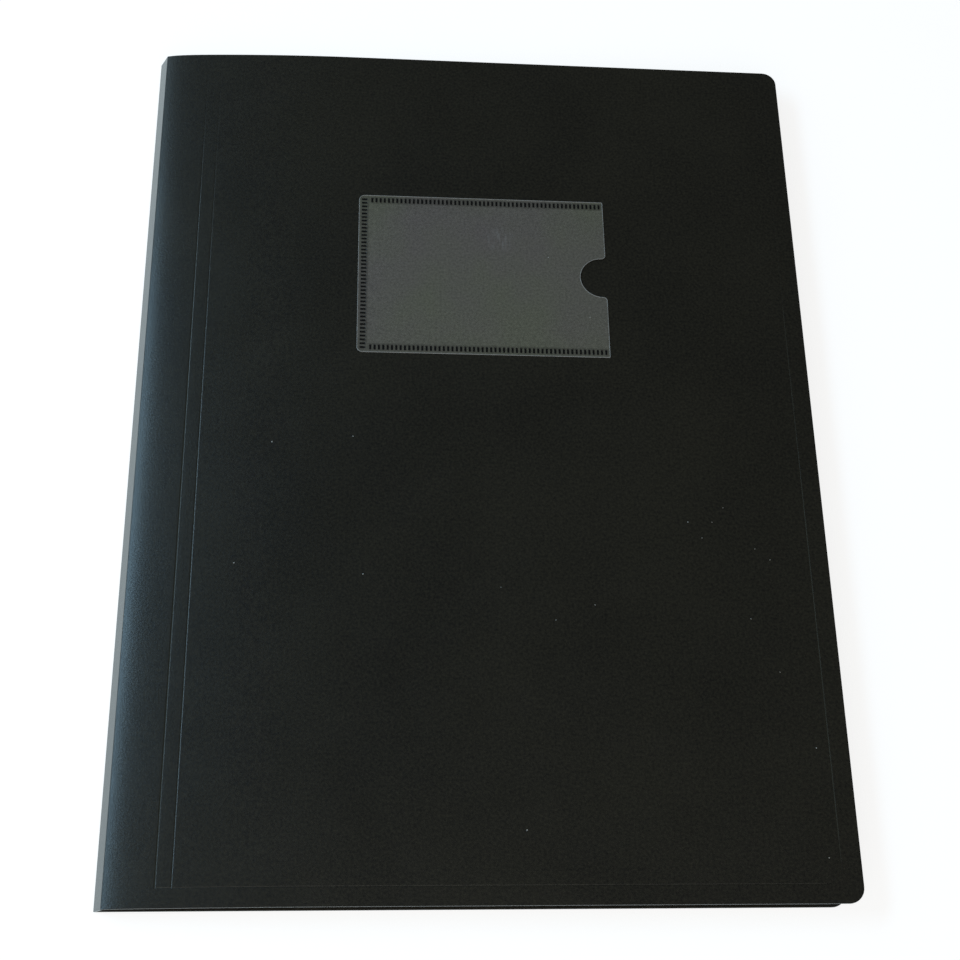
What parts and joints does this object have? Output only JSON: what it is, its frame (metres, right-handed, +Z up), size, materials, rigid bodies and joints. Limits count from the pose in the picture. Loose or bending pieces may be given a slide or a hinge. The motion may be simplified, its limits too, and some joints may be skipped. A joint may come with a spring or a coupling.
{
  "type": "display book",
  "caption": "Closed A4 display book with a creased plastic cover, clear pockets inside and a clear card pocket with a thumb notch on the front.",
  "frame": {"origin": "under the middle of the closed book, at the plane it lies on", "axes": "+X from the spine towards the fore-edge, +Y from the tail towards the head, +Z up through the front cover"},
  "size_m": [0.2342, 0.31, 0.0105],
  "materials": {
    "cover": "fine sand grain, satin black",
    "card_film": "frosted clear film with dark weld marks",
    "pockets": "clear film, stacked"
  },
  "bodies": {
    "pages": {"spine": "cover", "pocket_block": "pockets"},
    "front_cover": {"front_cover": "cover", "card_pocket": "card_film"},
    "back_cover": {"back_cover": "cover"}
  },
  "joints": [
    {"name": "front_fold", "type": "hinge", "parent": "pages", "child": "front_cover", "pos_m": [-0.11391, 0, 0.00573], "axis": [0, -1, 0], "range_deg": [0, 180]},
    {"name": "rear_fold", "type": "hinge", "parent": "pages", "child": "back_cover", "pos_m": [-0.11671, 0, 0.00038], "axis": [0, 1, 0], "range_deg": [0, 180]}
  ]
}
